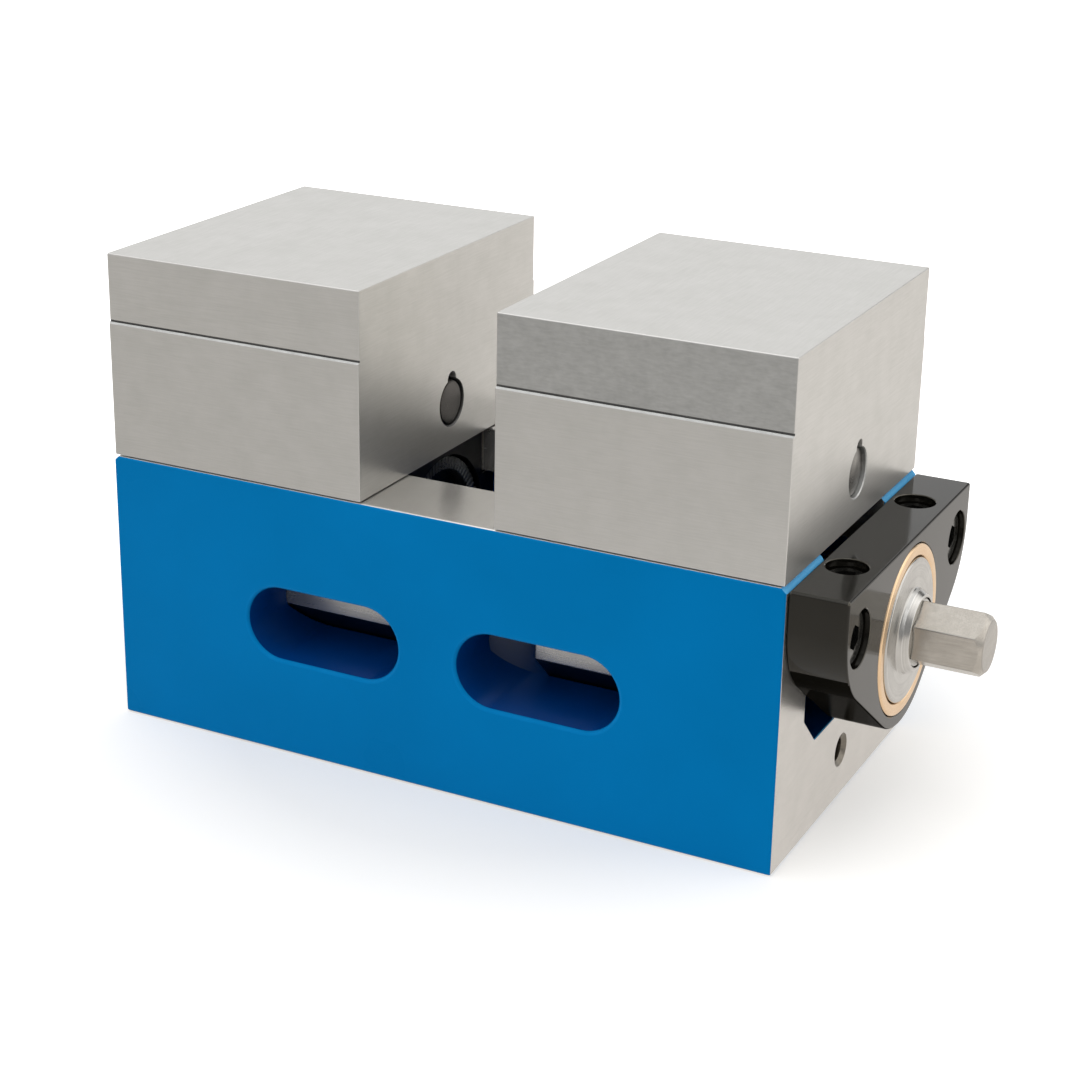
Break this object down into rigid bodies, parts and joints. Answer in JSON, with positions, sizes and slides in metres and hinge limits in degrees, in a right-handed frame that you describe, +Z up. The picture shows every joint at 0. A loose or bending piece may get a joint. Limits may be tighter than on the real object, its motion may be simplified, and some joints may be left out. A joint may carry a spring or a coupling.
{
  "type": "self-centring machine vise",
  "caption": "Self-centring vise: a slotted block with chip windows, two steel jaws drawn together by a screw with opposed threads, and a bearing plate with a drive hexagon.",
  "frame": {"origin": "centre of the body's underside, where the vise rests on its base", "axes": "+X along the screw towards the drive hexagon, +Y across the body away from the pictured side, +Z up"},
  "size_m": [0.2416, 0.1016, 0.1387],
  "materials": {
    "blue_paint": "satin enamel",
    "black_oxide": "polished black oxide",
    "bronze": "turned bronze",
    "ground_steel": "fine ground steel"
  },
  "bodies": {
    "base": {"vise_body": "blue_paint", "bearing_plate": "black_oxide", "screw_bushing": "bronze", "plate_screw_front": "black_oxide", "plate_screw_back": "black_oxide", "top_screw_front": "black_oxide", "top_screw_back": "black_oxide", "plate_dowel_front": "ground_steel", "plate_dowel_back": "ground_steel", "locating_bushing_left": "ground_steel", "locating_bushing_right": "ground_steel"},
    "screw": {"lead_screw": "ground_steel", "thrust_collar": "ground_steel", "thrust_washer": "ground_steel"},
    "left_jaw": {"jaw_left": "ground_steel", "jaw_nut_left": "ground_steel", "nut_ring_left": "black_oxide", "half_ball_left": "ground_steel", "front_plug_left": "black_oxide", "rear_plug_left": "ground_steel"},
    "right_jaw": {"jaw_right": "ground_steel", "jaw_nut_right": "ground_steel", "nut_ring_right": "black_oxide", "half_ball_right": "ground_steel", "front_plug_right": "black_oxide", "rear_plug_right": "ground_steel"}
  },
  "joints": [
    {"name": "screw_turn", "type": "hinge", "parent": "base", "child": "screw", "pos_m": [0, 0, 0.0533], "axis": [1, 0, 0], "range_deg": [-1440, 1260]},
    {"name": "jaw_left_slide", "type": "slide", "parent": "base", "child": "left_jaw", "axis": [-1, 0, 0], "range_m": [-0.02, 0.0175]},
    {"name": "jaw_right_slide", "type": "slide", "parent": "base", "child": "right_jaw", "axis": [1, 0, 0], "range_m": [-0.02, 0.0175]}
  ],
  "couplings": [
    {"joint": "screw_turn", "follows": "jaw_left_slide", "rad_per_m": 1256.6},
    {"joint": "jaw_right_slide", "follows": "jaw_left_slide", "ratio": 1}
  ]
}
